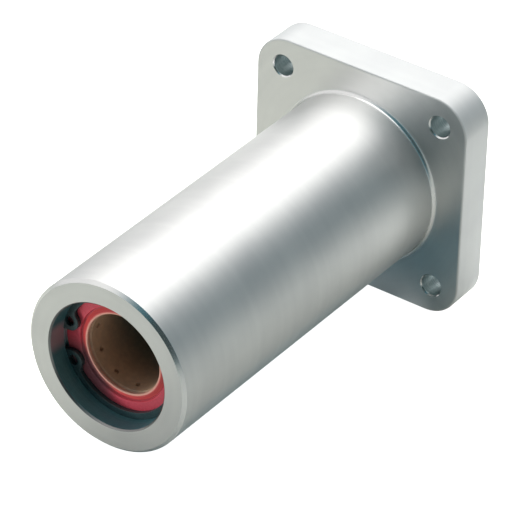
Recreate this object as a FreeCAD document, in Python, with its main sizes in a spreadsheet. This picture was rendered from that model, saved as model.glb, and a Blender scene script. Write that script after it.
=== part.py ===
import FreeCAD, Part
import math
import os
import Sketcher

# Linear plain bearing: a flanged tube that carries two lined sleeves end to end,
# closed at each end by a wiper seal and an internal retaining ring.
# The bore runs along Y. The origin is where the bore's axis meets the flange's tube-side face,
# the tube's free end (the front) points to -Y and the flange's back face (the rear) to +Y.

# Driving dimensions, in millimetres and degrees
DIMENSIONS = {
    # shaft and liner
    "shaft_diameter": 20,
    "liner_wall": 1.5,
    "liner_chamfer": 0.5,
    "liner_play": 0.02,
    # sleeve that carries the liner, with two outer grooves
    "sleeve_length": 45,
    "sleeve_chamfer": 0.6,
    "sleeve_play": 0.02,
    "sleeve_groove_inset": 6.9,
    "sleeve_groove_width": 1.6,
    "sleeve_groove_depth": 0.85,
    # wiper seal
    "wiper_thickness": 3.2,
    "wiper_play": 0.02,
    "wiper_lip_clearance": 0.1,
    "wiper_lip_edge": 0.7,
    "wiper_lip_width": 1.6,
    "wiper_lip_thickness": 1.0,
    "wiper_groove_width": 0.3,
    "wiper_groove_depth": 0.5,
    "wiper_groove_wall": 0.2,
    # retaining ring and its groove
    "ring_recess": 5.1,
    "ring_thickness": 1.2,
    "ring_groove_width": 1.3,
    "ring_groove_depth": 0.85,
    "ring_play": 0.05,
    "ring_back_width": 2.6,
    "ring_tip_width": 2.3,
    "ring_gap": 5.4,
    "ring_turn": 6,
    "lug_height": 5.4,
    "lug_width": 5.0,
    "lug_hole_diameter": 2.5,
    "lug_root_fillet": 1.5,
    # housing
    "seat_diameter": 32,
    "tube_wall": 6,
    "end_chamfer": 0.8,
    "mouth_chamfer": 0.4,
    "root_fillet": 1.2,
    "flange_thickness": 10,
    "flange_corner_radius": 9,
    "flange_edge_chamfer": 0.4,
    "bolt_spacing": 45,
    "bolt_edge_distance": 7.5,
    "bolt_hole_diameter": 5.5,
    "bolt_hole_chamfer": 0.3,
}

doc = FreeCAD.newDocument("linear_plain_bearing")
sheet = doc.addObject("Spreadsheet::Sheet", "Sizes")
for row, (alias, value) in enumerate(DIMENSIONS.items(), start=1):
    sheet.set(f"A{row}", alias)
    sheet.set(f"B{row}", str(value))
    sheet.setAlias(f"B{row}", alias)
doc.recompute()

# Lengths that follow from the driving dimensions
SEAT_RADIUS = "(Sizes.seat_diameter / 2)"
TUBE_RADIUS = f"({SEAT_RADIUS} + Sizes.tube_wall)"
LINER_RADIUS = "(Sizes.shaft_diameter / 2 + Sizes.liner_wall)"
LIP_RADIUS = "(Sizes.shaft_diameter / 2 + Sizes.wiper_lip_clearance)"
RING_GROOVE_RADIUS = f"({SEAT_RADIUS} + Sizes.ring_groove_depth)"
RING_RADIUS = f"({RING_GROOVE_RADIUS} - Sizes.ring_play)"
FLANGE_HALF = "(Sizes.bolt_spacing / 2 + Sizes.bolt_edge_distance)"

# Depths of the stack below an end face of the housing
WIPER_DEPTH = "(Sizes.ring_recess + Sizes.ring_thickness)"
SLEEVE_DEPTH = f"({WIPER_DEPTH} + Sizes.wiper_thickness)"
FRONT_FACE = f"(Sizes.flange_thickness - 2 * ({SLEEVE_DEPTH} + Sizes.sleeve_length))"
REAR_FACE = "Sizes.flange_thickness"


def number(expression):
    return float(sheet.evalExpression(expression))


def new_body(label):
    body = doc.addObject("PartDesign::Body", label)
    body.Label = label
    return body


def new_sketch(body, name, role):
    sketch = body.newObject("Sketcher::SketchObject", name)
    plane = next(item for item in body.Origin.OriginFeatures if item.Role == role)
    sketch.AttachmentSupport = (plane, [""])
    sketch.MapMode = "FlatFace"
    return sketch


def bind(sketch, constraint, expression):
    index = sketch.addConstraint(constraint)
    sketch.setExpression(f"Constraints[{index}]", expression)


def place_point(sketch, geometry, point, across, along):
    # holds one point of the sketch at its two distances from the sketch's origin
    bind(sketch, Sketcher.Constraint("DistanceX", -1, 1, geometry, point, number(across)), across)
    bind(sketch, Sketcher.Constraint("DistanceY", -1, 1, geometry, point, number(along)), along)


def add_outline(sketch, corners):
    # closed outline of straight lines through corners given as pairs of expressions
    points = [FreeCAD.Vector(number(across), number(along), 0) for across, along in corners]
    first = sketch.GeometryCount
    for start, end in zip(points, points[1:] + points[:1]):
        sketch.addGeometry(Part.LineSegment(start, end))
    for index, (across, along) in enumerate(corners):
        following = (index + 1) % len(corners)
        sketch.addConstraint(Sketcher.Constraint("Coincident", first + index, 2, first + following, 1))
        place_point(sketch, first + index, 1, across, along)


def add_circle(sketch, across, along, radius):
    centre = FreeCAD.Vector(number(across), number(along), 0)
    circle = sketch.addGeometry(Part.Circle(centre, FreeCAD.Vector(0, 0, 1), number(radius)))
    place_point(sketch, circle, 3, across, along)
    bind(sketch, Sketcher.Constraint("Radius", circle, number(radius)), radius)


def revolve(body, kind, name, corners):
    # turns an outline of (radius, distance along the axis) about the Y axis
    sketch = new_sketch(body, f"{name}_profile", "XY_Plane")
    add_outline(sketch, corners)
    feature = body.newObject(kind, name)
    feature.Profile = sketch
    feature.ReferenceAxis = (sketch, ["V_Axis"])
    feature.Angle = 360
    return feature


def extrude(body, kind, name, sketch, length, towards_rear):
    # a pad grows along the sketch's normal, which is -Y here, and a pocket cuts against it
    feature = body.newObject(kind, name)
    feature.Profile = sketch
    feature.setExpression("Length", length)
    feature.Reversed = towards_rear == (kind == "PartDesign::Pad")
    return feature


def dress(body, kind, name, base, size, wanted):
    # fillet or chamfer on the edges of the base for which wanted(edge) holds
    doc.recompute()
    edges = [f"Edge{count}" for count, edge in enumerate(base.Shape.Edges, start=1) if wanted(edge)]
    feature = body.newObject(kind, name)
    feature.Base = (base, edges)
    feature.setExpression("Radius" if kind == "PartDesign::Fillet" else "Size", size)
    return feature


def runs_along_bore(edge):
    ends = [vertex.Point for vertex in edge.Vertexes]
    return len(ends) == 2 and math.isclose(abs(ends[1].y - ends[0].y), edge.Length)


def lies_at(edge, level):
    return all(math.isclose(vertex.Y, level, abs_tol=1e-6) for vertex in edge.Vertexes)


def is_circle(edge, radius):
    return isinstance(edge.Curve, Part.Circle) and math.isclose(edge.Curve.Radius, radius)


def place_at_end(body, end, depth, turn=0):
    # stands a piece at its depth below the front or rear face, with its own +Y pointing into the bore,
    # after a turn about the bore's axis
    spin = FreeCAD.Rotation(FreeCAD.Vector(0, 1, 0), turn)
    if end == "rear":
        body.Placement.Rotation = FreeCAD.Rotation(FreeCAD.Vector(0, 0, 1), 180) * spin
        body.setExpression("Placement.Base.y", f"{REAR_FACE} - {depth}")
    else:
        body.Placement.Rotation = spin
        body.setExpression("Placement.Base.y", f"{FRONT_FACE} + {depth}")


def make_housing():
    body = new_body("housing")

    square = new_sketch(body, "flange_outline", "XZ_Plane")
    half = FLANGE_HALF
    add_outline(square, [(f"-{half}", f"-{half}"), (half, f"-{half}"), (half, half), (f"-{half}", half)])
    flange = extrude(body, "PartDesign::Pad", "flange", square, "Sizes.flange_thickness", True)
    dress(body, "PartDesign::Fillet", "flange_corners", flange, "Sizes.flange_corner_radius", runs_along_bore)

    tube = revolve(body, "PartDesign::Revolution", "tube", [
        ("0", FRONT_FACE),
        (f"{TUBE_RADIUS} - Sizes.end_chamfer", FRONT_FACE),
        (TUBE_RADIUS, f"{FRONT_FACE} + Sizes.end_chamfer"),
        (TUBE_RADIUS, REAR_FACE),
        ("0", REAR_FACE),
    ])
    tube_radius = number(TUBE_RADIUS)
    rear_face = number(REAR_FACE)

    def at_root(edge):
        return is_circle(edge, tube_radius) and lies_at(edge, 0)

    def on_flange_rim(edge):
        centre = edge.CenterOfMass
        outside = math.hypot(centre.x, centre.z) > tube_radius
        return outside and (lies_at(edge, 0) or lies_at(edge, rear_face))

    root = dress(body, "PartDesign::Fillet", "tube_root", tube, "Sizes.root_fillet", at_root)
    dress(body, "PartDesign::Chamfer", "flange_rim", root, "Sizes.flange_edge_chamfer", on_flange_rim)

    wide = f"{SEAT_RADIUS} + Sizes.mouth_chamfer"
    groove_front = f"{FRONT_FACE} + Sizes.ring_recess"
    groove_rear = f"{REAR_FACE} - Sizes.ring_recess"
    revolve(body, "PartDesign::Groove", "bore", [
        ("0", FRONT_FACE),
        (wide, FRONT_FACE),
        (SEAT_RADIUS, f"{FRONT_FACE} + Sizes.mouth_chamfer"),
        (SEAT_RADIUS, groove_front),
        (RING_GROOVE_RADIUS, groove_front),
        (RING_GROOVE_RADIUS, f"{groove_front} + Sizes.ring_groove_width"),
        (SEAT_RADIUS, f"{groove_front} + Sizes.ring_groove_width"),
        (SEAT_RADIUS, f"{groove_rear} - Sizes.ring_groove_width"),
        (RING_GROOVE_RADIUS, f"{groove_rear} - Sizes.ring_groove_width"),
        (RING_GROOVE_RADIUS, groove_rear),
        (SEAT_RADIUS, groove_rear),
        (SEAT_RADIUS, f"{REAR_FACE} - Sizes.mouth_chamfer"),
        (wide, REAR_FACE),
        ("0", REAR_FACE),
    ])

    corner = new_sketch(body, "bolt_circle", "XZ_Plane")
    add_circle(corner, "Sizes.bolt_spacing / 2", "Sizes.bolt_spacing / 2", "Sizes.bolt_hole_diameter / 2")
    hole = extrude(body, "PartDesign::Pocket", "bolt_hole", corner, "Sizes.flange_thickness", True)
    holes = body.newObject("PartDesign::PolarPattern", "bolt_holes")
    holes.Originals = [hole]
    holes.Axis = (corner, ["N_Axis"])
    holes.Angle = 360
    holes.Occurrences = 4
    body.Tip = holes

    def at_hole_mouth(edge):
        return is_circle(edge, number("Sizes.bolt_hole_diameter / 2"))

    body.Tip = dress(body, "PartDesign::Chamfer", "hole_mouths", holes, "Sizes.bolt_hole_chamfer", at_hole_mouth)
    return body


def make_retaining_ring(end):
    # C-shaped spring ring: its band narrows towards the gap, where two eared lugs point inwards
    body = new_body(f"{end}_retaining_ring")
    thickness = "Sizes.ring_thickness"
    inner_radius = f"({RING_RADIUS} - (Sizes.ring_back_width + Sizes.ring_tip_width) / 2)"
    inner_centre = "(Sizes.ring_tip_width - Sizes.ring_back_width) / 2"

    circles = new_sketch(body, "band_outline", "XZ_Plane")
    add_circle(circles, "0", "0", RING_RADIUS)
    add_circle(circles, inner_centre, "0", inner_radius)
    extrude(body, "PartDesign::Pad", "band", circles, thickness, True)

    # the upper lug stands beside the gap with its side in line with it, and the lower one mirrors it
    gap_side = "(Sizes.ring_gap / 2)"
    far_side = "(Sizes.ring_gap / 2 + Sizes.lug_width)"
    ear_radius = "(Sizes.lug_width / 2)"
    ear_across = f"({RING_RADIUS} - Sizes.lug_height + {ear_radius})"
    ear_up = f"({gap_side} + {ear_radius})"
    ear_foot = f"({RING_RADIUS} - Sizes.ring_tip_width)"

    ear = new_sketch(body, "ear_outline", "XZ_Plane")
    add_circle(ear, f"-{ear_across}", ear_up, ear_radius)
    ear_pad = extrude(body, "PartDesign::Pad", "ear", ear, thickness, True)

    neck = new_sketch(body, "neck_outline", "XZ_Plane")
    add_outline(neck, [
        (f"-{ear_across}", gap_side),
        (f"-{ear_across}", far_side),
        (f"-{ear_foot}", far_side),
        (f"-{ear_foot}", gap_side),
    ])
    neck_pad = extrude(body, "PartDesign::Pad", "neck", neck, thickness, True)

    eye = new_sketch(body, "eye_outline", "XZ_Plane")
    add_circle(eye, f"-{ear_across}", ear_up, "Sizes.lug_hole_diameter / 2")
    eye_pocket = extrude(body, "PartDesign::Pocket", "eye", eye, thickness, True)

    lugs = body.newObject("PartDesign::Mirrored", "lugs")
    lugs.Originals = [ear_pad, neck_pad, eye_pocket]
    lugs.MirrorPlane = (circles, ["H_Axis"])
    body.Tip = lugs

    # the ears are trimmed to the band's outside, then the gap is cut between them
    outside = f"({RING_RADIUS} + Sizes.ring_back_width)"
    rim = new_sketch(body, "rim_outline", "XZ_Plane")
    add_circle(rim, "0", "0", RING_RADIUS)
    add_circle(rim, "0", "0", outside)
    extrude(body, "PartDesign::Pocket", "rim", rim, thickness, True)
    gap = new_sketch(body, "gap_outline", "XZ_Plane")
    add_outline(gap, [
        (f"-{ear_across}", f"-{gap_side}"),
        (f"-{ear_across}", gap_side),
        (f"-{outside}", gap_side),
        (f"-{outside}", f"-{gap_side}"),
    ])
    cut = extrude(body, "PartDesign::Pocket", "gap", gap, thickness, True)

    def at_lug_root(edge):
        if not runs_along_bore(edge):
            return False
        point = edge.Vertexes[0].Point
        reach = math.hypot(point.x - number(inner_centre), point.z)
        return math.isclose(reach, number(inner_radius), abs_tol=1e-4)

    body.Tip = dress(body, "PartDesign::Fillet", "lug_roots", cut, "Sizes.lug_root_fillet", at_lug_root)
    place_at_end(body, end, "Sizes.ring_recess", -number("Sizes.ring_turn"))
    return body


def make_wiper_seal(end):
    # ring with a scraping lip: the lip's edge is flush with the front face, behind it the liner's end enters
    body = new_body(f"{end}_wiper_seal")
    outer = f"({SEAT_RADIUS} - Sizes.wiper_play)"
    groove_inner = f"({LIP_RADIUS} + Sizes.wiper_lip_width)"
    groove_outer = f"({groove_inner} + Sizes.wiper_groove_width)"
    socket = f"({LINER_RADIUS} + Sizes.liner_play)"
    body.Tip = revolve(body, "PartDesign::Revolution", "seal", [
        (LIP_RADIUS, "0"),
        (f"{LIP_RADIUS} + Sizes.wiper_lip_edge", "0"),
        (groove_inner, "Sizes.wiper_groove_depth"),
        (groove_outer, "Sizes.wiper_groove_depth"),
        (f"{groove_outer} + Sizes.wiper_groove_wall", "0"),
        (outer, "0"),
        (outer, "Sizes.wiper_thickness"),
        (socket, "Sizes.wiper_thickness"),
        (socket, "Sizes.wiper_lip_thickness"),
        (LIP_RADIUS, "Sizes.wiper_lip_thickness"),
    ])
    place_at_end(body, end, WIPER_DEPTH)
    return body


def make_bearing_sleeve(end):
    # sleeve with chamfered ends and two grooves round its outside
    body = new_body(f"{end}_bearing_sleeve")
    inner = f"({LINER_RADIUS} + Sizes.liner_play)"
    outer = f"({SEAT_RADIUS} - Sizes.sleeve_play)"
    floor = f"({outer} - Sizes.sleeve_groove_depth)"
    length = "Sizes.sleeve_length"
    inset = "Sizes.sleeve_groove_inset"
    far_side = "(Sizes.sleeve_groove_inset + Sizes.sleeve_groove_width)"
    body.Tip = revolve(body, "PartDesign::Revolution", "sleeve", [
        (inner, "0"),
        (f"{outer} - Sizes.sleeve_chamfer", "0"),
        (outer, "Sizes.sleeve_chamfer"),
        (outer, inset),
        (floor, inset),
        (floor, far_side),
        (outer, far_side),
        (outer, f"{length} - {far_side}"),
        (floor, f"{length} - {far_side}"),
        (floor, f"{length} - {inset}"),
        (outer, f"{length} - {inset}"),
        (outer, f"{length} - Sizes.sleeve_chamfer"),
        (f"{outer} - Sizes.sleeve_chamfer", length),
        (inner, length),
    ])
    place_at_end(body, end, SLEEVE_DEPTH)
    return body


def make_liner(end):
    # plain lining that stands out of the sleeve up to the wiper's lip, with its bore eased at both ends
    body = new_body(f"{end}_liner")
    bore = "Sizes.shaft_diameter / 2"
    eased = f"{bore} + Sizes.liner_chamfer"
    depth = f"({WIPER_DEPTH} + Sizes.wiper_lip_thickness)"
    length = f"({SLEEVE_DEPTH} + Sizes.sleeve_length - {depth})"
    body.Tip = revolve(body, "PartDesign::Revolution", "lining", [
        (eased, "0"),
        (LINER_RADIUS, "0"),
        (LINER_RADIUS, length),
        (eased, length),
        (bore, f"{length} - Sizes.liner_chamfer"),
        (bore, "Sizes.liner_chamfer"),
    ])
    place_at_end(body, end, depth)
    return body


pieces = [make_housing()]
for end in ("front", "rear"):
    pieces += [make_retaining_ring(end), make_wiper_seal(end), make_bearing_sleeve(end), make_liner(end)]
doc.recompute()

for item in doc.Objects:
    if "Invalid" in item.State or "Error" in item.State:
        raise RuntimeError(f"{item.Label} failed: {item.State}")
for piece in pieces:
    if piece.Shape.isNull() or not piece.Shape.isValid() or len(piece.Shape.Solids) != 1:
        raise RuntimeError(f"{piece.Label} is not one valid solid")

os.makedirs("parts", exist_ok=True)
for piece in pieces:
    piece.Shape.exportStep(f"parts/{piece.Label}.step")
    print(f"{piece.Label}: {piece.Shape.Volume / 1000:.2f} cm3")
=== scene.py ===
import math
import bmesh
import bpy
from mathutils import Matrix, Vector


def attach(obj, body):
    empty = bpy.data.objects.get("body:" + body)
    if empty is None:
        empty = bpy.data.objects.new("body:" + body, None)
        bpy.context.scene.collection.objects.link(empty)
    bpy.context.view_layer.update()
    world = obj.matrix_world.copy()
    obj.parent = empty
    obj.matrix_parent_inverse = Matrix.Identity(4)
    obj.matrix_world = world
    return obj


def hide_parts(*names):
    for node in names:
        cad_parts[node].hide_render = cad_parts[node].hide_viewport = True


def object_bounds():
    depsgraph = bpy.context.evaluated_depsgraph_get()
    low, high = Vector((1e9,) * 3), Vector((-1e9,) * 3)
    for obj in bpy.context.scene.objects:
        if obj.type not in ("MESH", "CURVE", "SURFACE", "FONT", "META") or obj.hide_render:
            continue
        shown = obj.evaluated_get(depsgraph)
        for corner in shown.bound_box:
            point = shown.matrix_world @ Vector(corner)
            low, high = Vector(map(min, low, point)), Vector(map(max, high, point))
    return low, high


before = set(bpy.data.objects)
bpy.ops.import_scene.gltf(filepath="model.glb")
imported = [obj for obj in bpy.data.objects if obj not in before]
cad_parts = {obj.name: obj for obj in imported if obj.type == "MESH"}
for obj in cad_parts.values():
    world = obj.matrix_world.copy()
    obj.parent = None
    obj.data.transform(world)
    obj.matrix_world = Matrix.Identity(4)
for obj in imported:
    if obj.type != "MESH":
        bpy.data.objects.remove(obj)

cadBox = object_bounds()
mm = 0.001
upright = (math.radians(90), 0.0, 0.0)          # turns what is made round Z onto the bore's axis
inwards = {"front": 1, "rear": -1}              # the way along the bore from each end
bore = {
    "halfway": (-45.0, -44.0),                  # mm along the bore, between its front and rear half
    "linerEnds": {"front": -91.7, "rear": 2.7},
}


# Node trees

class Wire:
    # a socket that can be used in sums: each operator adds its Math node to the tree
    def __init__(self, tree, socket=None):
        self.tree = tree
        self.socket = socket

    def node(self, kind, settings=None, inputs=None, output=0):
        made = self.tree.nodes.new(kind)
        for name, value in (settings or {}).items():
            setattr(made, name, value)
        for name, value in (inputs or {}).items():
            if isinstance(value, Wire):
                self.tree.links.new(value.socket, made.inputs[name])
            else:
                made.inputs[name].default_value = value
        return Wire(self.tree, made.outputs[output] if made.outputs else None)

    def math(self, operation, first, second=0.0, third=0.0):
        return self.node("ShaderNodeMath", {"operation": operation}, {0: first, 1: second, 2: third})

    def __add__(self, other):
        return self.math("ADD", self, other)

    def __radd__(self, other):
        return self.math("ADD", other, self)

    def __sub__(self, other):
        return self.math("SUBTRACT", self, other)

    def __rsub__(self, other):
        return self.math("SUBTRACT", other, self)

    def __mul__(self, other):
        return self.math("MULTIPLY", self, other)

    def __rmul__(self, other):
        return self.math("MULTIPLY", other, self)

    def __truediv__(self, other):
        return self.math("DIVIDE", self, other)

    def absolute(self):
        return self.math("ABSOLUTE", self)

    def smooth(self, low, high):
        # 0 below low, 1 above high, eased between them
        return self.node("ShaderNodeMapRange", {"interpolation_type": "SMOOTHSTEP"},
                         {"Value": self, "From Min": low, "From Max": high})

    def blend(self, fromColour, toColour):
        # this value picks a colour between two
        return self.node("ShaderNodeMix", {"data_type": "RGBA"},
                         {"Factor": self, 6: fromColour, 7: toColour}, 2)


def newTree(name, given):
    # a Geometry Nodes tree with its named inputs
    tree = bpy.data.node_groups.new(name, "GeometryNodeTree")
    for label, kind in given:
        tree.interface.new_socket(label, in_out="INPUT", socket_type=f"NodeSocket{kind}")
    tree.interface.new_socket("Mesh", in_out="OUTPUT", socket_type="NodeSocketGeometry")
    start = tree.nodes.new("NodeGroupInput")
    return tree, Wire(tree), {label: Wire(tree, start.outputs[label]) for label, kind in given}


def endTree(wire, mesh, material):
    real = wire.node("GeometryNodeRealizeInstances", None, {"Geometry": mesh})
    dressed = wire.node("GeometryNodeSetMaterial", None, {"Geometry": real, "Material": material})
    wire.node("NodeGroupOutput", None, {"Mesh": dressed})


def plainMesh(holder):
    # what an object comes to, with its modifiers, as a mesh of its own
    bpy.context.collection.objects.link(holder)
    made = bpy.data.meshes.new_from_object(holder.evaluated_get(bpy.context.evaluated_depsgraph_get()))
    bpy.data.objects.remove(holder)
    return made


def runTree(tree, mesh, values):
    holder = bpy.data.objects.new(tree.name, mesh)
    modifier = holder.modifiers.new(tree.name, "NODES")
    modifier.node_group = tree
    for socket in tree.interface.items_tree:
        if socket.in_out == "INPUT" and socket.name in values:
            modifier[socket.identifier] = values[socket.name]
    return plainMesh(holder)


# Materials

def newMaterial(name):
    material = bpy.data.materials.new(name)
    material.use_nodes = True
    material.node_tree.nodes.clear()
    return material, Wire(material.node_tree)


def finishMaterial(wire, colour, roughness, bump, metal=0.0):
    shader = wire.node("ShaderNodeBsdfPrincipled", None,
                       {"Base Color": colour, "Metallic": metal, "Roughness": roughness, "Normal": bump})
    wire.node("ShaderNodeOutputMaterial", None, {"Surface": shader})


def objectSpot(wire):
    return wire.node("ShaderNodeTexCoord", None, None, "Object")


def placeOnPart(wire, spot):
    # across, along the bore and up, in millimetres
    return [wire.node("ShaderNodeSeparateXYZ", None, {0: spot}, axis) / mm for axis in "XYZ"]


def distance(wire, across, up):
    return wire.math("SQRT", across * across + up * up)


def noise(wire, spot, scale, detail):
    return wire.node("ShaderNodeTexNoise", None, {"Vector": spot, "Scale": scale, "Detail": detail})


def lineNoise(wire, along, scale, detail):
    # noise that changes along one measure only
    return wire.node("ShaderNodeTexNoise", {"noise_dimensions": "1D"},
                     {"W": along, "Scale": scale, "Detail": detail})


def makeBump(wire, height, strength, depth):
    return wire.node("ShaderNodeBump", None, {"Height": height, "Strength": strength, "Distance": depth * mm})


def swing(wave, share):
    # noise that carries a value as far up as down
    return share * (wave - 0.5)


def brighten(colour, share):
    return [part * share for part in colour[:3]] + [1.0]


def frontEnd(y):
    # 1 on the half of the bore at the tube's free end and 0 on the other
    return 1.0 - y.smooth(*bore["halfway"])


def gapSide(y):
    # the side that a retaining ring is open to: -1 at the front end and 1 at the rear
    return 1.0 - 2.0 * frontEnd(y)


satin = {
    "colour": (0.67, 0.67, 0.66, 1.0),
    "shade": (0.62, 0.62, 0.615, 1.0),
    "grainSize": 0.35,                          # mm, from the blasting under the anodised skin
    "grainDepth": 0.004,                        # mm
    "fineDetail": 2.0,
    "bands": (0.4, 3.0),                        # scale and detail
    "clouds": (70.0, 3.0),
    "cloudShare": 0.75,                         # in the colour, where the bands make up the rest
    "cloudEdge": (0.32, 0.68),
    "bandDulling": 0.015,
    "cloudDulling": 0.05,
    "grainDulling": 0.04,
    "bump": (0.6, 1.0),                         # strength, and depth in mm
}
# pitch and depth of the tool lines in mm, and how bright and how bare the metal is
lays = {
    "turned": {"roughness": 0.48, "pitch": 0.30, "depth": 0.003, "bright": 1.0, "metal": 1.0},
    "faced": {"roughness": 0.36, "pitch": 0.22, "depth": 0.003, "bright": 1.0, "metal": 1.0},
    "milled": {"roughness": 0.62, "pitch": 0.45, "depth": 0.004, "bright": 1.09, "metal": 0.7},
    "chamfered": {"roughness": 0.26, "pitch": 0.15, "depth": 0.001, "bright": 1.12, "metal": 1.0},
    # the mouth's chamfer is dimmed to 0.36 of the satin's colour: painted shade that keeps its glint down
    "mouth": {"roughness": 0.34, "pitch": 0.15, "depth": 0.001, "bright": 0.36, "metal": 1.0},
}


def satinAluminium(name, lay):
    # tool lines run round the bore's axis, as rings on a faced surface and one after another elsewhere
    cut = lays[lay]
    material, wire = newMaterial(name)
    spot = objectSpot(wire)
    x, y, z = placeOnPart(wire, spot)
    travel = distance(wire, x, z) if lay == "faced" else y
    lines = lineNoise(wire, travel, 1 / cut["pitch"], satin["fineDetail"])
    bands = lineNoise(wire, travel, *satin["bands"])
    grain = noise(wire, spot, 1 / (satin["grainSize"] * mm), satin["fineDetail"])
    clouds = noise(wire, spot, *satin["clouds"])
    mottle = (satin["cloudShare"] * clouds + (1 - satin["cloudShare"]) * bands).smooth(*satin["cloudEdge"])
    colour = mottle.blend(brighten(satin["shade"], cut["bright"]), brighten(satin["colour"], cut["bright"]))
    roughness = cut["roughness"] + swing(bands, satin["bandDulling"])
    roughness = roughness + swing(clouds, satin["cloudDulling"]) + swing(grain, satin["grainDulling"])
    bump = makeBump(wire, grain * satin["grainDepth"] + lines * cut["depth"], *satin["bump"])
    finishMaterial(wire, colour, roughness, bump, cut["metal"])
    return material


cutColours = {
    # the seat's dark teal is painted shade of the recess, and the hole walls' darker greys are painted shade
    # inside the holes
    "seat": {"dark": (0.076, 0.228, 0.258, 1.0), "pale": (0.108, 0.284, 0.316, 1.0), "metal": 0.5},
    "hole": {"dark": (0.36, 0.43, 0.44, 1.0), "pale": (0.55, 0.61, 0.61, 1.0), "metal": 1.0},
}
cutMarks = {
    "lines": (3.2, 3.0),                        # scale and detail
    "grain": (1800.0, 3.0),
    "lineShare": 0.6,
    "edge": (0.35, 0.65),
    "roughness": 0.42,
    "grainDulling": 0.14,
    "bump": (0.5, 0.02),
}
gapReflection = {
    "colour": (0.44, 0.35, 0.38, 1.0),          # painted reflection of the red wiper on the seat's wall, in the gap of the front retaining ring
    "up": 0.2,
    "reach": (1.5, 4.6),
    "across": (11.0, 13.5),
}


def cutWall(name, where):
    # inside of the seat or of the bolt holes, duller with the cutter's marks and darkened with painted shade
    # of the recess
    tones = cutColours[where]
    material, wire = newMaterial(name)
    spot = objectSpot(wire)
    x, y, z = placeOnPart(wire, spot)
    lines = lineNoise(wire, y, *cutMarks["lines"])
    grain = noise(wire, spot, *cutMarks["grain"])
    mottle = (cutMarks["lineShare"] * lines + (1 - cutMarks["lineShare"]) * grain).smooth(*cutMarks["edge"])
    colour = mottle.blend(tones["dark"], tones["pale"])
    if where == "seat":
        # mauve painted reflection of the red wiper on the front seat's wall, in the retaining ring's gap
        bare = 1.0 - (z - gapReflection["up"]).absolute().smooth(*gapReflection["reach"])
        bare = bare * frontEnd(y) * (x * gapSide(y)).smooth(*gapReflection["across"])
        colour = bare.blend(colour, gapReflection["colour"])
    roughness = cutMarks["roughness"] + cutMarks["grainDulling"] * grain
    bump = makeBump(wire, lines, *cutMarks["bump"])
    finishMaterial(wire, colour, roughness, bump, tones["metal"])
    return material


phosphate = {
    "dark": (0.018, 0.042, 0.046, 1.0),
    "pale": (0.036, 0.070, 0.075, 1.0),
    "grain": (2600.0, 4.0),
    "patches": (240.0, 3.0),
    "grainShare": 0.6,
    "edge": (0.38, 0.66),
    "roughness": 0.30,
    "grainDulling": 0.16,
    "patchDulling": 0.08,
    "bump": (0.4, 0.012),
}


def blackSteel(name):
    material, wire = newMaterial(name)
    spot = objectSpot(wire)
    grain = noise(wire, spot, *phosphate["grain"])
    patches = noise(wire, spot, *phosphate["patches"])
    mottle = phosphate["grainShare"] * grain + (1 - phosphate["grainShare"]) * patches
    colour = mottle.smooth(*phosphate["edge"]).blend(phosphate["dark"], phosphate["pale"])
    roughness = phosphate["roughness"] + phosphate["grainDulling"] * grain
    roughness = roughness + phosphate["patchDulling"] * patches
    finishMaterial(wire, colour, roughness, makeBump(wire, grain, *phosphate["bump"]))
    return material


# edges, radii and places are in mm
lip = {
    "band": (0.76, 0.085, 0.125, 1.0),
    "bandShade": (0.68, 0.065, 0.100, 1.0),
    "slope": (0.77, 0.095, 0.095, 1.0),
    "slopeEdge": (11.6, 12.0),
    "line": (0.36, 0.032, 0.045, 1.0),
    "lineShare": 0.7,
    "lineEdges": ((11.6, 11.75), (12.0, 12.15)),
    "edge": (0.86, 0.42, 0.32, 1.0),
    "edgeWidth": (10.40, 10.70),
    "eyes": ((14.37, 3.72), (13.28, -6.62)),    # where the ring's lugs lie, across and up
    "eyeRadius": (1.0, 1.7),
    "eyeShade": (0.10, 0.012, 0.020, 1.0),
    "lowerLeftShade": (0.13, 0.075, 0.085, 1.0),         # painted shade on the front wiper's lower left, below the ring's gap
    "lowerLeftShadeShare": 0.8,
    "lowerLeftShadeWay": (0.731, -0.682),
    "lowerLeftShadeEdge": (0.74, 0.985),                 # cosines
    "grain": (1500.0, 3.0),
    "grainEdge": (0.3, 0.7),
    "roughness": 0.30,
    "grainDulling": 0.14,
    "bump": (0.3, 0.01),
}


def redRubber(name):
    material, wire = newMaterial(name)
    spot = objectSpot(wire)
    x, y, z = placeOnPart(wire, spot)
    radius = distance(wire, x, z)
    gapwards = x * gapSide(y)
    grain = noise(wire, spot, *lip["grain"])
    band = grain.smooth(*lip["grainEdge"]).blend(lip["bandShade"], lip["band"])
    colour = radius.smooth(*lip["slopeEdge"]).blend(lip["slope"], band)
    inner, outer = lip["lineEdges"]
    inLine = radius.smooth(*inner) * (1.0 - radius.smooth(*outer))
    colour = (lip["lineShare"] * inLine).blend(colour, lip["line"])
    for across, up in lip["eyes"]:
        reach = distance(wire, gapwards - across, z - up)
        colour = (1.0 - reach.smooth(*lip["eyeRadius"])).blend(colour, lip["eyeShade"])
    # painted shade on the front wiper's lower left, where the mouth's rim shades it
    across, up = lip["lowerLeftShadeWay"]
    low = (gapwards * across + z * up) / radius
    lowerLeftShade = lip["lowerLeftShadeShare"] * frontEnd(y) * low.smooth(*lip["lowerLeftShadeEdge"])
    colour = lowerLeftShade.blend(colour, lip["lowerLeftShade"])
    colour = radius.smooth(*lip["edgeWidth"]).blend(lip["edge"], colour)
    roughness = lip["roughness"] + lip["grainDulling"] * grain
    finishMaterial(wire, colour, roughness, makeBump(wire, grain, *lip["bump"]))
    return material


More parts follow.
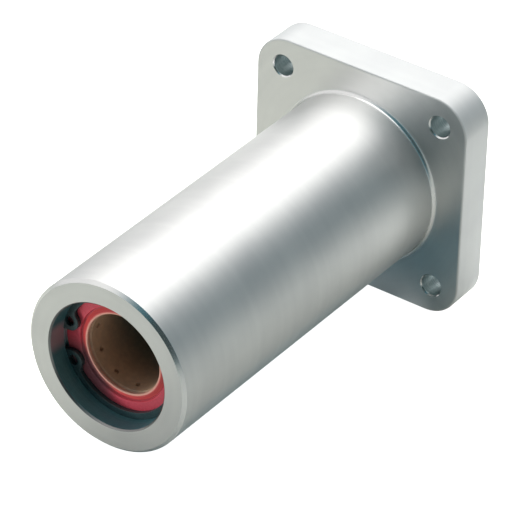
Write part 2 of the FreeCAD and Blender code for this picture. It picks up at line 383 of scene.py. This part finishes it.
composite = {
    "worn": ((0.60, 0.385, 0.255, 1.0), (0.70, 0.455, 0.30, 1.0)),      # two shades at the ends of the bore, as painted light falling in from the open ends
    "shadedDeep": ((0.13, 0.135, 0.112, 1.0), (0.17, 0.165, 0.135, 1.0)),     # and further in, as painted shade deep in the bore
    "wornDepth": (1.0, 15.0),
    "grain": (900.0, 4.0),
    "grainEdge": (0.35, 0.7),
    "grainShare": 0.8,
    "fleckScale": 1300.0,
    "fleckEdge": (0.10, 0.22),
    "roughness": 0.46,
    "grainDulling": 0.20,
    "bump": (0.4, 0.01),
}


def brownLining(name):
    material, wire = newMaterial(name)
    spot = objectSpot(wire)
    y = placeOnPart(wire, spot)[1]
    front, rear = bore["linerEnds"].values()
    inside = (rear - front) / 2 - (y - (front + rear) / 2).absolute()
    # painted light near the liner's ends, fading to painted shade deeper in the bore
    worn = 1.0 - inside.smooth(*composite["wornDepth"])
    grain = noise(wire, spot, *composite["grain"])
    flecks = wire.node("ShaderNodeTexVoronoi", None, {"Vector": spot, "Scale": composite["fleckScale"]})
    tones = [worn.blend(shadedDeep, pale) for shadedDeep, pale in zip(composite["shadedDeep"], composite["worn"])]
    mottle = composite["grainShare"] * grain.smooth(*composite["grainEdge"])
    mottle = mottle + (1 - composite["grainShare"]) * (1.0 - flecks.smooth(*composite["fleckEdge"]))
    roughness = composite["roughness"] + composite["grainDulling"] * grain
    finishMaterial(wire, mottle.blend(*tones), roughness, makeBump(wire, grain, *composite["bump"]))
    return material


# the housing has these in its material slots, in this order
finishes = {
    "turned": satinAluminium("turnedSatin", "turned"),
    "faced": satinAluminium("facedSatin", "faced"),
    "hole": cutWall("holeWall", "hole"),
    "seat": cutWall("seatWall", "seat"),
    "milled": satinAluminium("milledSatin", "milled"),
    "chamfered": satinAluminium("chamferCut", "chamfered"),
    "mouth": satinAluminium("mouthCut", "mouth"),
}
slotOf = {name: index for index, name in enumerate(finishes)}
steel = blackSteel("blackSteel")
rubber = redRubber("redRubber")
lining = brownLining("brownLining")
print("materials done")


# Outlines and turned pieces

turning = {
    "cornerSteps": 4,
    "pathRadius": mm,
    "crease": math.radians(35),
    "sameSpot": 0.001 * mm,
}


def turned(arm, angle):
    cos, sin = math.cos(angle), math.sin(angle)
    return Vector((arm.x * cos - arm.y * sin, arm.x * sin + arm.y * cos))


def easeCorners(corners):
    # corners are (across, along, ease) in mm, and each one with an ease becomes an arc
    points = []
    steps = turning["cornerSteps"]
    for index, (across, along, ease) in enumerate(corners):
        here = Vector((across, along))
        if not ease:
            points.append(here)
            continue
        back = (Vector(corners[index - 1][:2]) - here).normalized()
        onward = (Vector(corners[(index + 1) % len(corners)][:2]) - here).normalized()
        half = back.angle(onward) / 2
        centre = here + (back + onward).normalized() * (ease / math.sin(half))
        first = here + back * (ease / math.tan(half)) - centre
        last = here + onward * (ease / math.tan(half)) - centre
        sweep = math.atan2(first.x * last.y - first.y * last.x, first.dot(last))
        for step in range(steps + 1):
            points.append(centre + turned(first, sweep * step / steps))
    return points


def outlineMesh(name, points, closed):
    mesh = bpy.data.meshes.new(name)
    count = len(points)
    edges = [(index, (index + 1) % count) for index in range(count if closed else count - 1)]
    mesh.from_pydata([(point.x * mm, point.y * mm, 0.0) for point in points], edges, [])
    return mesh


def makeTurnTree():
    # sweeps an outline of (distance from the axis, place along it) round the bore's axis
    tree, wire, given = newTree("turnOnAxis", [("Outline", "Geometry"), ("Segments", "Int"),
                                               ("Material", "Material")])
    line = wire.node("GeometryNodeMeshToCurve", None, {"Mesh": given["Outline"]})
    inward = wire.node("GeometryNodeTransform", None,
                       {"Geometry": line, "Translation": (-turning["pathRadius"], 0.0, 0.0)})
    path = wire.node("GeometryNodeCurvePrimitiveCircle", {"mode": "RADIUS"},
                     {"Resolution": given["Segments"], "Radius": turning["pathRadius"]})
    swept = wire.node("GeometryNodeCurveToMesh", None, {"Curve": path, "Profile Curve": inward})
    level = wire.node("GeometryNodeTransform", None, {"Geometry": swept, "Rotation": upright})
    endTree(wire, level, given["Material"])
    return tree


turnTree = makeTurnTree()


def turnOutline(name, corners, segments, material, closed=True):
    mesh = outlineMesh(name, easeCorners(corners), closed)
    return runTree(turnTree, mesh, {"Segments": segments, "Material": material})


def finishPiece(name, mesh, node):
    # merges doubles, turns the faces outwards, keeps hard edges hard and stands in for its node
    shape = bmesh.new()
    shape.from_mesh(mesh)
    bmesh.ops.remove_doubles(shape, verts=shape.verts, dist=turning["sameSpot"])
    bmesh.ops.recalc_face_normals(shape, faces=shape.faces)
    for edge in shape.edges:
        edge.smooth = edge.smooth and edge.calc_face_angle(0.0) < turning["crease"]
    for face in shape.faces:
        face.smooth = True
    shape.to_mesh(mesh)
    shape.free()
    piece = bpy.data.objects.new(name, mesh)
    bpy.context.collection.objects.link(piece)
    even = piece.modifiers.new("evenNormals", "WEIGHTED_NORMAL")
    even.keep_sharp = True
    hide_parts(node)
    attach(piece, "root")


# Housing

housing = {
    "segments": 192,
    "tubeRadius": 22.0,
    "tubeEnd": -99.0,
    "endChamfer": 0.8,
    "seatRadius": 16.0,
    "mouthChamfer": 0.4,
    "ringGroove": (5.1, 1.3, 16.85),            # depth below the end face, width, radius
    "rootFillet": 1.2,
    "flangeHalf": 30.0,
    "flangeCorner": 9.0,
    "flangeThickness": 10.0,
    "flangeEase": 0.4,
    "easeSteps": 4,
    "cornerSteps": 24,
    "edgeEase": 0.12,
    "faceInset": 2.0,                           # flat ring round the tube that is turned with it
    "boltSpacing": 45.0,
    "boltRadius": 2.75,
    "boltChamfer": 0.3,
    "boltEase": 0.1,
    "boltSegments": 56,
}
# how far along the bore the normal of a face leans, and how much play its place has in mm
sorting = {
    "flat": 0.9,
    "sloped": 0.2,
    "upright": 0.1,
    "play": 0.001,
    "samePlane": 0.0001,
    "mouthShare": 0.9,                          # of the tube's radius, inside which a slope is the mouth's
}


def makeHoleTree():
    # one hole's wall at each corner of a square
    tree, wire, given = newTree("boltHoles", [("Outline", "Geometry"), ("Segments", "Int"),
                                              ("Spacing", "Float"), ("Material", "Material")])
    wall = wire.node("GeometryNodeGroup", {"node_tree": turnTree},
                     {label: given[label] for label in ("Outline", "Segments", "Material")})
    square = wire.node("GeometryNodeMeshGrid", None, {"Size X": given["Spacing"], "Size Y": given["Spacing"],
                                                      "Vertices X": 2, "Vertices Y": 2})
    across = wire.node("GeometryNodeTransform", None,
                       {"Geometry": square, "Rotation": (math.radians(-90), 0.0, 0.0)})
    walls = wire.node("GeometryNodeInstanceOnPoints", None, {"Points": across, "Instance": wall})
    endTree(wire, walls, given["Material"])
    return tree


def housingOutline():
    tube, seat, end = housing["tubeRadius"], housing["seatRadius"], housing["tubeEnd"]
    back, inset = housing["flangeThickness"], housing["faceInset"]
    chamfer, mouth, ease = housing["endChamfer"], housing["mouthChamfer"], housing["edgeEase"]
    depth, width, groove = housing["ringGroove"]
    return [
        (tube + inset, 0.0, 0.0),
        (tube, 0.0, housing["rootFillet"]),
        (tube, end + chamfer, ease),
        (tube - chamfer, end, ease),
        (seat + mouth, end, ease),
        (seat, end + mouth, ease),
        (seat, end + depth, 0.0),
        (groove, end + depth, 0.0),
        (groove, end + depth + width, 0.0),
        (seat, end + depth + width, 0.0),
        (seat, back - depth - width, 0.0),
        (groove, back - depth - width, 0.0),
        (groove, back - depth, 0.0),
        (seat, back - depth, 0.0),
        (seat, back - mouth, ease),
        (seat + mouth, back, ease),
        (seat + inset, back, 0.0),
    ]


def makeHoles():
    hole, cut, ease = housing["boltRadius"], housing["boltChamfer"], housing["boltEase"]
    back = housing["flangeThickness"]
    wall = easeCorners([(hole + cut, 0.0, 0.0), (hole, cut, ease),
                        (hole, back - cut, ease), (hole + cut, back, 0.0)])
    return runTree(makeHoleTree(), outlineMesh("holeWall", wall, False),
                   {"Segments": housing["boltSegments"], "Spacing": housing["boltSpacing"] * mm,
                    "Material": finishes["hole"]})


def squareLoop(shape, inset, along):
    # a rounded square across the bore, as a loop of vertices
    half = housing["flangeHalf"] - inset
    corner = housing["flangeCorner"] - inset
    reach = (half - corner) * math.sqrt(2)
    loop = []
    for quarter in range(4):
        middle = math.radians(90 * quarter + 45)
        for step in range(housing["cornerSteps"] + 1):
            angle = math.radians(90 * (quarter + step / housing["cornerSteps"]))
            across = reach * math.cos(middle) + corner * math.cos(angle)
            up = reach * math.sin(middle) + corner * math.sin(angle)
            loop.append(shape.verts.new((across * mm, along * mm, up * mm)))
    return loop


def bridge(shape, first, second):
    for index in range(len(first)):
        following = (index + 1) % len(first)
        shape.faces.new((first[index], first[following], second[following], second[index]))


def makeRim(shape):
    # the flange's side with its eased edges, from front to back
    ease, steps, back = housing["flangeEase"], housing["easeSteps"], housing["flangeThickness"]
    angles = [math.radians(90 * step / steps) for step in range(steps + 1)]
    eased = [(ease * (1 - math.sin(angle)), ease * (1 - math.cos(angle))) for angle in angles]
    loops = [squareLoop(shape, inset, along) for inset, along in eased]
    loops += [squareLoop(shape, inset, back - along) for inset, along in reversed(eased)]
    for first, second in zip(loops, loops[1:]):
        bridge(shape, first, second)


def fillFace(shape, along, facing):
    # flat face between all the open edges at one place along the bore
    rims = [edge for edge in shape.edges if edge.is_boundary
            and all(abs(vert.co.y - along * mm) < sorting["samePlane"] * mm for vert in edge.verts)]
    made = bmesh.ops.triangle_fill(shape, use_beauty=True, edges=rims, normal=(0.0, facing, 0.0))["geom"]
    for face in made:
        if isinstance(face, bmesh.types.BMFace):
            face.material_index = slotOf["faced"]
    for edge in rims:
        edge.smooth = False


def holeFinish(face):
    return "chamfered" if abs(face.normal.y) > sorting["sloped"] else "hole"


def barrelFinish(face):
    # how a turned face is finished, from its distance to the bore's axis and its slope
    seat, groove, play = housing["seatRadius"], housing["ringGroove"][2], sorting["play"]
    reaches = [math.hypot(vert.co.x, vert.co.z) / mm for vert in face.verts]
    nearest, furthest = min(reaches), max(reaches)
    lean = abs(face.normal.y)
    inGroove = nearest > seat - play and furthest < groove + play and lean < sorting["upright"]
    if furthest < seat + play or inGroove:
        return "seat"
    if lean > sorting["flat"]:
        return "faced"
    if furthest < housing["tubeRadius"] * sorting["mouthShare"]:
        return "mouth"
    return "chamfered" if lean > sorting["sloped"] else "turned"


def makeHousing():
    barrel = turnOutline("barrel", housingOutline(), housing["segments"], finishes["turned"], closed=False)
    shape = bmesh.new()
    shape.from_mesh(barrel)
    barrelCount = len(shape.faces)
    shape.from_mesh(makeHoles())
    holesCount = len(shape.faces)
    makeRim(shape)
    for index, face in enumerate(shape.faces):
        face.normal_update()
        finish = "milled"
        if index < barrelCount:
            finish = barrelFinish(face)
        elif index < holesCount:
            finish = holeFinish(face)
        face.material_index = slotOf[finish]
    fillFace(shape, 0.0, -1.0)
    fillFace(shape, housing["flangeThickness"], 1.0)
    mesh = bpy.data.meshes.new("housingBody")
    shape.to_mesh(mesh)
    shape.free()
    for material in finishes.values():
        mesh.materials.append(material)
    finishPiece("housingBody", mesh, "housing")


makeHousing()
print("housing done")


# Retaining rings

ring = {
    "radius": 16.8,
    "innerRadius": 14.35,
    "innerShift": -0.15,
    "thickness": 1.2,
    "gap": 5.4,
    "ear": (-13.9, 2.5),                        # place across and radius
    "eyeRadius": 1.25,
    "rootFillet": 1.5,
    "edgeEase": 0.14,
    "easeSteps": 2,
    "turn": 6.0,                                # degrees, as the swing is
    "middle": {"front": -93.3, "rear": 4.3},
    "swing": {"front": 0, "rear": 180},
}
arcSteps = {"outside": 72, "ear": 18, "fillet": 8, "inside": 60, "eye": 28}


def arcPoints(centre, radius, start, stop, part):
    steps = arcSteps[part]
    return [centre + turned(Vector((radius, 0.0)), start + (stop - start) * step / steps)
            for step in range(steps + 1)]


def heading(arm):
    return math.atan2(arm.y, arm.x)


def mirrored(points):
    return [Vector((point.x, -point.y)) for point in points]


def upperHalf(ear, earRadius):
    # outside from the far end round to the gap, and inside from the gap back to the far end
    half = ring["gap"] / 2
    hub = Vector((ring["innerShift"], 0.0))
    root = ring["rootFillet"]
    inner = ring["innerRadius"]
    # the fillet's centre is one distance from the ear and another from the inner circle
    earReach, hubReach = earRadius + root, inner - root
    span = ear - hub
    along = (hubReach ** 2 - earReach ** 2 + span.length_squared) / (2 * span.length)
    aside = math.sqrt(hubReach ** 2 - along ** 2)
    way = span.normalized()
    fillet = hub + way * along + Vector((way.y, -way.x)) * aside
    fromEar = heading(ear - fillet)
    toHub = heading(fillet - hub)
    sweep = (toHub - fromEar + math.pi) % (2 * math.pi) - math.pi
    gapAt = math.pi - math.asin(half / ring["radius"])
    outside = arcPoints(Vector((0.0, 0.0)), ring["radius"], 0.0, gapAt, "outside")
    inside = arcPoints(ear, earRadius, math.radians(-90), heading(fillet - ear), "ear")
    inside += arcPoints(fillet, root, fromEar, fromEar + sweep, "fillet")[1:]
    inside += arcPoints(hub, inner, toHub, 0.0, "inside")[1:]
    return outside, inside


def ringOutlines():
    # the ring's own outline, then its two eyes
    across, earRadius = ring["ear"]
    ear = Vector((across, ring["gap"] / 2 + earRadius))
    outside, inside = upperHalf(ear, earRadius)
    around = outside[::-1] + mirrored(outside)[1:] + mirrored(inside)[:-1] + inside[::-1]
    centres = [ear] + mirrored([ear])
    eyes = [arcPoints(centre, ring["eyeRadius"], 0.0, 2 * math.pi, "eye")[:-1] for centre in centres]
    return [around] + eyes


def makeRing(end):
    ease = ring["edgeEase"]
    flat = bpy.data.curves.new("ringFlat", "CURVE")
    flat.dimensions = "2D"
    flat.fill_mode = "BOTH"
    flat.extrude = (ring["thickness"] / 2 - ease) * mm
    flat.bevel_depth = ease * mm
    flat.bevel_resolution = ring["easeSteps"]
    flat.offset = -ease * mm
    for points in ringOutlines():
        spline = flat.splines.new("POLY")
        spline.points.add(len(points) - 1)
        for point, place in zip(spline.points, points):
            point.co = (place.x * mm, place.y * mm, 0.0, 1.0)
        spline.use_cyclic_u = True
    mesh = plainMesh(bpy.data.objects.new("ringFlat", flat))
    stand = Matrix.Rotation(math.radians(90), 4, "X")
    spin = Matrix.Rotation(math.radians(-ring["turn"]), 4, "Y")
    swung = Matrix.Rotation(math.radians(ring["swing"][end]), 4, "Z")
    shift = Matrix.Translation((0.0, ring["middle"][end] * mm, 0.0))
    mesh.transform(shift @ swung @ spin @ stand)
    mesh.materials.append(steel)
    finishPiece(f"{end}RetainingRing", mesh, f"{end}_retaining_ring")


for end in inwards:
    makeRing(end)
print("retaining rings done")


# Wiper seals

wiper = {
    "segments": 160,
    "faceAt": {"front": -92.7, "rear": 3.7},
    # distance from the axis, depth behind the face and ease of each corner
    "corners": [
        (10.1, 0.0, 0.30), (10.8, 0.0, 0.25), (11.7, 0.5, 0.1), (12.0, 0.5, 0.1), (12.2, 0.0, 0.12),
        (15.98, 0.0, 0.25), (15.98, 3.2, 0.25), (11.52, 3.2, 0.1), (11.52, 1.0, 0.0), (10.1, 1.0, 0.3),
    ],
}


def fromEnd(corners, start, end):
    # corners given by their depth behind one end, as places along the bore
    return [(across, start + inwards[end] * depth, ease) for across, depth, ease in corners]


def makeWiper(end):
    corners = fromEnd(wiper["corners"], wiper["faceAt"][end], end)
    mesh = turnOutline(f"{end}WiperSeal", corners, wiper["segments"], rubber)
    finishPiece(f"{end}WiperSeal", mesh, f"{end}_wiper_seal")


# Liners

liner = {
    "segments": 120,
    "length": 47.2,
    "boreRadius": 10.0,
    "outerRadius": 11.5,
    "chamfer": 0.5,
    "ease": 0.12,
    "pocketCount": 10,
    "pocketPhase": 26.6,
    "pocketRadius": 0.6,
    "pocketDepth": 0.8,
    "pocketInset": 2.7,
    "pocketSides": 20,
}


def makePocketTree():
    # a ring of small blind pockets drilled into the liner from its bore
    tree, wire, given = newTree("pocketRing", [
        ("Liner", "Geometry"), ("Count", "Int"), ("Phase", "Float"), ("Along", "Float"),
        ("Bore Radius", "Float"), ("Pocket Radius", "Float"), ("Pocket Depth", "Float"),
        ("Material", "Material")])
    drill = wire.node("GeometryNodeMeshCylinder", None,
                      {"Vertices": liner["pocketSides"], "Radius": given["Pocket Radius"],
                       "Depth": 2.0 * given["Pocket Depth"]})
    circle = wire.node("GeometryNodeMeshCircle", None,
                       {"Vertices": given["Count"], "Radius": given["Bore Radius"]})
    phase = wire.node("ShaderNodeCombineXYZ", None, {"Z": given["Phase"]})
    started = wire.node("GeometryNodeTransform", None, {"Geometry": circle, "Rotation": phase})
    outwards = wire.node("FunctionNodeAlignRotationToVector", {"axis": "Z"},
                         {"Vector": wire.node("GeometryNodeInputPosition")})
    drills = wire.node("GeometryNodeInstanceOnPoints", None,
                       {"Points": started, "Instance": drill, "Rotation": outwards})
    real = wire.node("GeometryNodeRealizeInstances", None, {"Geometry": drills})
    along = wire.node("ShaderNodeCombineXYZ", None, {"Y": given["Along"]})
    level = wire.node("GeometryNodeTransform", None,
                      {"Geometry": real, "Rotation": upright, "Translation": along})
    cut = wire.node("GeometryNodeMeshBoolean", {"operation": "DIFFERENCE", "solver": "EXACT"},
                    {"Mesh 1": given["Liner"], "Mesh 2": level})
    endTree(wire, cut, given["Material"])
    return tree


def makeLiner(end, pocketTree):
    start = bore["linerEnds"][end]
    inner, outer, length = liner["boreRadius"], liner["outerRadius"], liner["length"]
    chamfer, ease = liner["chamfer"], liner["ease"]
    corners = [
        (inner + chamfer, 0.0, ease), (outer, 0.0, ease), (outer, length, ease),
        (inner + chamfer, length, ease), (inner, length - chamfer, ease), (inner, chamfer, ease),
    ]
    plain = turnOutline(f"{end}LinerPlain", fromEnd(corners, start, end), liner["segments"], lining)
    shape = bmesh.new()
    shape.from_mesh(plain)
    bmesh.ops.recalc_face_normals(shape, faces=shape.faces)
    shape.to_mesh(plain)
    shape.free()
    mesh = runTree(pocketTree, plain, {
        "Count": liner["pocketCount"], "Phase": math.radians(liner["pocketPhase"]),
        "Along": (start + inwards[end] * liner["pocketInset"]) * mm, "Bore Radius": inner * mm,
        "Pocket Radius": liner["pocketRadius"] * mm, "Pocket Depth": liner["pocketDepth"] * mm,
        "Material": lining})
    finishPiece(f"{end}Liner", mesh, f"{end}_liner")


pocketTree = makePocketTree()
for end in inwards:
    makeWiper(end)
    makeLiner(end, pocketTree)
    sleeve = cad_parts[f"{end}_bearing_sleeve"]
    sleeve.data.materials.clear()
    sleeve.data.materials.append(finishes["turned"])
print("seals and liners done")


# Floor, light and camera

# edges are in metres on the floor
ground = {
    "size": 6.0,
    "colour": (0.93, 0.89, 0.775, 1.0),
    "rightColour": (0.84, 0.81, 0.735, 1.0),    # right of the part, a little darker
    "rightEdge": (-0.045, 0.015),
    "footColour": (0.48, 0.74, 0.82, 1.0),      # in the shade of the tube, as the metal sees it
    "footEdge": ((0.010, 0.032), (-0.105, -0.07), (0.0, 0.01)),
    "sideColour": (0.42, 0.41, 0.38, 1.0),      # far left, where the tube's free end mirrors it
    "sideEdge": ((-0.05, -0.02), (-0.03, 0.01), (-0.105, -0.075)),
    "glow": 1.0,                                # white to the camera
    "leftGlow": 0.09,                           # extra that the metal sees on the left
    "backGlow": 0.45,                           # and more of it further back
    "backEdge": (0.04, 0.09),
    "mirrorGlow": 1.50,                         # and right of the flange, towards the back
    "mirrorSlant": 0.9,
    "mirrorEdge": ((0.01, 0.03), (0.08, 0.13), (-0.024, -0.008)),
    "rootGlow": 0.13,                           # and just before the flange
    "rootEdge": ((0.010, 0.020), (-0.016, -0.004)),
}


def rayKind(wire, which):
    return wire.node("ShaderNodeLightPath", None, None, which)


def seenPlainly(wire):
    # 1 for what the camera sees itself, 0 for light and reflections
    return wire.math("MAXIMUM", rayKind(wire, "Is Camera Ray"), rayKind(wire, "Is Transmission Ray"))


def groundColour(wire, x, y, onRight):
    glossy = rayKind(wire, "Is Glossy Ray")
    beside, ahead, slant = ground["sideEdge"]
    side = glossy * (1.0 - x.smooth(*beside)) * y.smooth(*ahead) * (1.0 - (x + y).smooth(*slant))
    beside, ahead, behind = ground["footEdge"]
    foot = glossy * (1.0 - x.absolute().smooth(*beside)) * y.smooth(*ahead) * (1.0 - y.smooth(*behind))
    colour = onRight.blend(ground["colour"], ground["rightColour"])
    colour = side.blend(colour, ground["sideColour"])
    return foot.blend(colour, ground["footColour"])


def groundGlow(wire, x, y, onRight):
    near, far, beyond = ground["mirrorEdge"]
    patch = x.smooth(*near) * (1.0 - wire.math("MAXIMUM", x, y).smooth(*far)) * ground["mirrorGlow"]
    patch = patch * (y - x * ground["mirrorSlant"]).smooth(*beyond)
    beside, before = ground["rootEdge"]
    patch = patch + (1.0 - x.absolute().smooth(*beside)) * y.smooth(*before) * ground["rootGlow"]
    onLeft = ground["leftGlow"] + ground["backGlow"] * y.smooth(*ground["backEdge"])
    patch = patch + (1.0 - onRight) * onLeft
    return seenPlainly(wire) * ground["glow"] + rayKind(wire, "Is Glossy Ray") * patch


def makeFloor():
    half = ground["size"] / 2
    low = cadBox[0].z
    mesh = bpy.data.meshes.new("floor")
    mesh.from_pydata([(-half, -half, low), (half, -half, low), (half, half, low), (-half, half, low)], [],
                     [(0, 1, 2, 3)])
    floor = bpy.data.objects.new("floor", mesh)
    bpy.context.collection.objects.link(floor)
    material, wire = newMaterial("paleFloor")
    spot = objectSpot(wire)
    x, y = (wire.node("ShaderNodeSeparateXYZ", None, {0: spot}, axis) for axis in "XY")
    onRight = x.smooth(*ground["rightEdge"])
    plain = wire.node("ShaderNodeBsdfDiffuse", None, {"Color": groundColour(wire, x, y, onRight)})
    light = wire.node("ShaderNodeEmission", None, {"Strength": groundGlow(wire, x, y, onRight)})
    both = wire.node("ShaderNodeAddShader", None, {0: plain, 1: light})
    wire.node("ShaderNodeOutputMaterial", None, {"Surface": both})
    mesh.materials.append(material)


# edges are cosines
sky = {
    "white": (1.0, 1.0, 1.0, 1.0),
    "black": (0.0, 0.0, 0.0, 1.0),
    "level": 0.66,
    "colour": (0.82, 1.0, 1.13, 1.0),
    "shade": 0.96,                              # how much of that the dark room takes away on its side
    "shadeEdge": (0.25, 0.75),
    "paleSide": (1.00, 1.00, 1.00, 1.0),        # what the metal mirrors to the left and behind
    "frontOnce": (1.15, 1.15, 1.14, 1.0),       # a screen in front on the left, mirrored once
    "frontTwice": (3.0, 3.0, 2.96, 1.0),        # and as tube and flange mirror it in each other
    "frontOverRoom": 0.5,
    "frontDirection": (-0.36, -0.66, 0.66),
    "frontEdge": (0.86, 0.985),
    "darkWall": (0.055, 0.12, 0.145, 1.0),
    "wallDirection": (0.60, 0.66, 0.42),
    "wallEdge": (0.80, 0.97),
    "darkRoom": (0.02, 0.155, 0.20, 1.0),       # the room on the camera's side
    "roomDirection": (0.60, -0.68, 0.42),
    "roomEdge": (0.42, 0.87),
    "darkMiddle": (0.05, 0.065, 0.066, 1.0),    # where the camera stands in it
    "middleEdge": (0.86, 0.96),
}


def towards(wire, direction, edge):
    # 1 where the sky lies in that direction, with a soft edge
    way = wire.node("ShaderNodeTexCoord", None, None, "Generated")
    cosine = wire.node("ShaderNodeVectorMath", {"operation": "DOT_PRODUCT"},
                       {0: way, 1: Vector(sky[direction]).normalized()}, "Value")
    return cosine.smooth(*sky[edge])


def makeSky():
    world = bpy.data.worlds.new("studio")
    bpy.context.scene.world = world
    world.use_nodes = True
    world.node_tree.nodes.clear()
    wire = Wire(world.node_tree)
    # 0 for what is mirrored once and 1 from the second time on
    twice = rayKind(wire, "Glossy Depth").smooth(1.0, 2.0)
    ahead = towards(wire, "frontDirection", "frontEdge")
    mirror = ahead.blend(sky["paleSide"], twice.blend(sky["frontOnce"], sky["frontTwice"]))
    mirror = towards(wire, "wallDirection", "wallEdge").blend(mirror, sky["darkWall"])
    mirror = towards(wire, "roomDirection", "roomEdge").blend(mirror, sky["darkRoom"])
    mirror = towards(wire, "roomDirection", "middleEdge").blend(mirror, sky["darkMiddle"])
    mirror = (sky["frontOverRoom"] * twice * ahead).blend(mirror, sky["frontTwice"])
    shade = towards(wire, "roomDirection", "shadeEdge") * sky["shade"]
    lit = shade.blend(brighten(sky["colour"], sky["level"]), sky["black"])
    colour = rayKind(wire, "Is Glossy Ray").blend(lit, mirror)
    colour = seenPlainly(wire).blend(colour, sky["white"])
    light = wire.node("ShaderNodeBackground", None, {"Color": colour, "Strength": 1.0})
    wire.node("ShaderNodeOutputWorld", None, {"Surface": light})


# the large lamp hangs above and behind, the small one lights the mouth from low on the left
lamps = {
    "softboxAbove": {"place": (-0.10, 0.22, 0.70), "aim": (0.0, 0.0, 0.0), "size": (0.78, 1.10),
                     "level": 1.62, "tint": (1.0, 0.99, 0.975), "spread": 180, "mirrored": True},
    "lowFront": {"place": (-0.035, -0.130, -0.022), "aim": (0.004, -0.093, 0.002), "size": (0.012, 0.012),
                 "level": 4.8, "tint": (1.0, 1.0, 1.0), "spread": 60, "mirrored": False},
}


def makeLamp(name, values):
    width, height = values["size"]
    lamp = bpy.data.lights.new(name, "AREA")
    lamp.shape = "RECTANGLE"
    lamp.size = width
    lamp.size_y = height
    lamp.energy = values["level"] * math.pi * width * height
    lamp.color = values["tint"]
    lamp.spread = math.radians(values["spread"])
    holder = bpy.data.objects.new(name, lamp)
    bpy.context.collection.objects.link(holder)
    holder.location = values["place"]
    away = Vector(values["place"]) - Vector(values["aim"])
    holder.rotation_euler = away.to_track_quat("Z", "Y").to_euler()
    holder.visible_camera = False
    holder.visible_glossy = values["mirrored"]


view = {
    "azimuth": 34.837,
    "elevation": 34.218,
    "roll": 1.546,
    "place": (0.44879, -0.68571, 0.53266),
    "lens": 284.58,
    "sensor": 36.0,
}


def makeCamera():
    azimuth, elevation, roll = (math.radians(view[key]) for key in ("azimuth", "elevation", "roll"))
    back = Vector((math.sin(azimuth) * math.cos(elevation), -math.cos(azimuth) * math.cos(elevation),
                   math.sin(elevation)))
    right = Vector((math.cos(azimuth), math.sin(azimuth), 0.0))
    up = back.cross(right)
    right, up = right * math.cos(roll) + up * math.sin(roll), up * math.cos(roll) - right * math.sin(roll)
    data = bpy.data.cameras.new("camera")
    data.lens = view["lens"]
    data.sensor_width = view["sensor"]
    camera = bpy.data.objects.new("camera", data)
    bpy.context.collection.objects.link(camera)
    turn = Matrix((right, up, back)).transposed().to_4x4()
    camera.matrix_world = Matrix.Translation(view["place"]) @ turn
    bpy.context.scene.camera = camera


makeFloor()
makeSky()
for name, values in lamps.items():
    makeLamp(name, values)
makeCamera()
bpy.context.scene.view_settings.view_transform = "Standard"
print("studio done")
